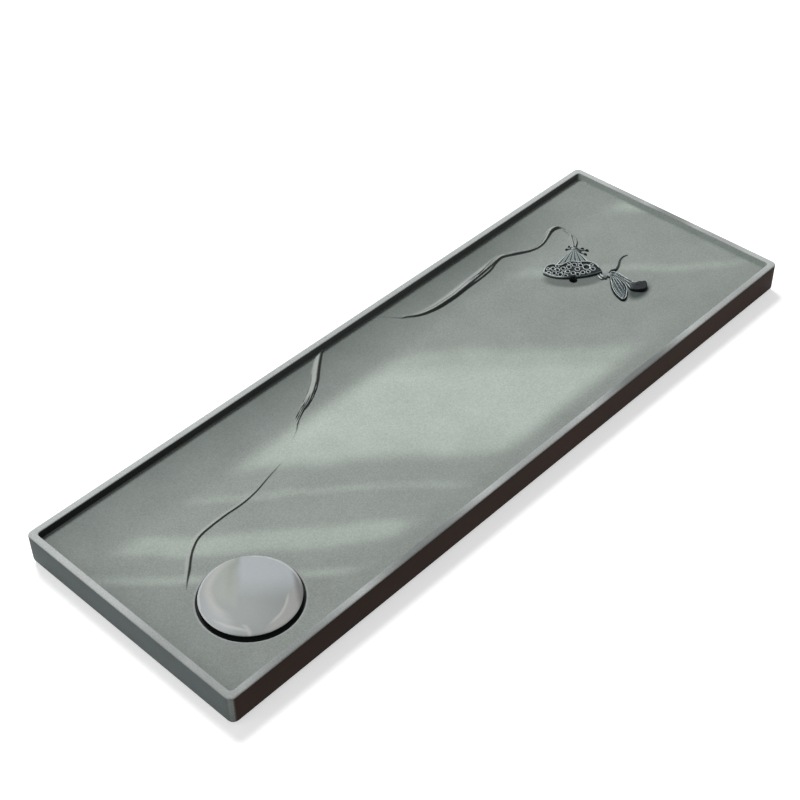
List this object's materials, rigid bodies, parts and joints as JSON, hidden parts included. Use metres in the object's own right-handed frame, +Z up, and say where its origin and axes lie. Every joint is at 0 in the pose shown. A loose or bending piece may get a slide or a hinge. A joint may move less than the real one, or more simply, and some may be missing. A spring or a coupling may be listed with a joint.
{
  "type": "gongfu tea tray",
  "caption": "Long stone tea tray with a shallow carved basin, a round moon pot stand that lifts out, a lotus pod, a moth and a drain with a hose stub underneath.",
  "frame": {"origin": "middle of the tray in plan, at the soles of the feet", "axes": "+X along the tray from the moon end to the lotus end, +Y to the back long side where the hose leaves, +Z up"},
  "size_m": [0.75, 0.26, 0.034],
  "materials": {
    "tray_stone": "honed, matte",
    "polished_stone": "smooth, satin",
    "carved_stone": "oiled, glossy on the high spots",
    "gasket_rubber": "matte",
    "strainer_steel": "brushed",
    "elbow_plastic": "moulded, satin",
    "screw_steel": "bright zinc",
    "plug_plastic": "moulded nylon",
    "foot_rubber": "matte",
    "bumper_silicone": "soft satin"
  },
  "bodies": {
    "tray": {"stone_tray": "tray_stone", "lotus_pod": "carved_stone", "moth": "carved_stone", "drain_gasket": "gasket_rubber", "drain_strainer": "strainer_steel", "drain_elbow": "elbow_plastic", "drain_screw_1": "screw_steel", "drain_screw_2": "screw_steel", "screw_plug_1": "plug_plastic", "screw_plug_2": "plug_plastic", "foot_1": "foot_rubber", "foot_2": "foot_rubber", "foot_3": "foot_rubber", "foot_4": "foot_rubber", "foot_5": "foot_rubber", "foot_6": "foot_rubber"},
    "moon": {"moon_pot_stand": "polished_stone", "stand_bumper_1": "bumper_silicone", "stand_bumper_2": "bumper_silicone", "stand_bumper_3": "bumper_silicone"}
  },
  "joints": [
    {"name": "moon_lift", "type": "slide", "parent": "tray", "child": "moon", "axis": [0, 0, 1], "range_m": [0, 0.04]}
  ]
}
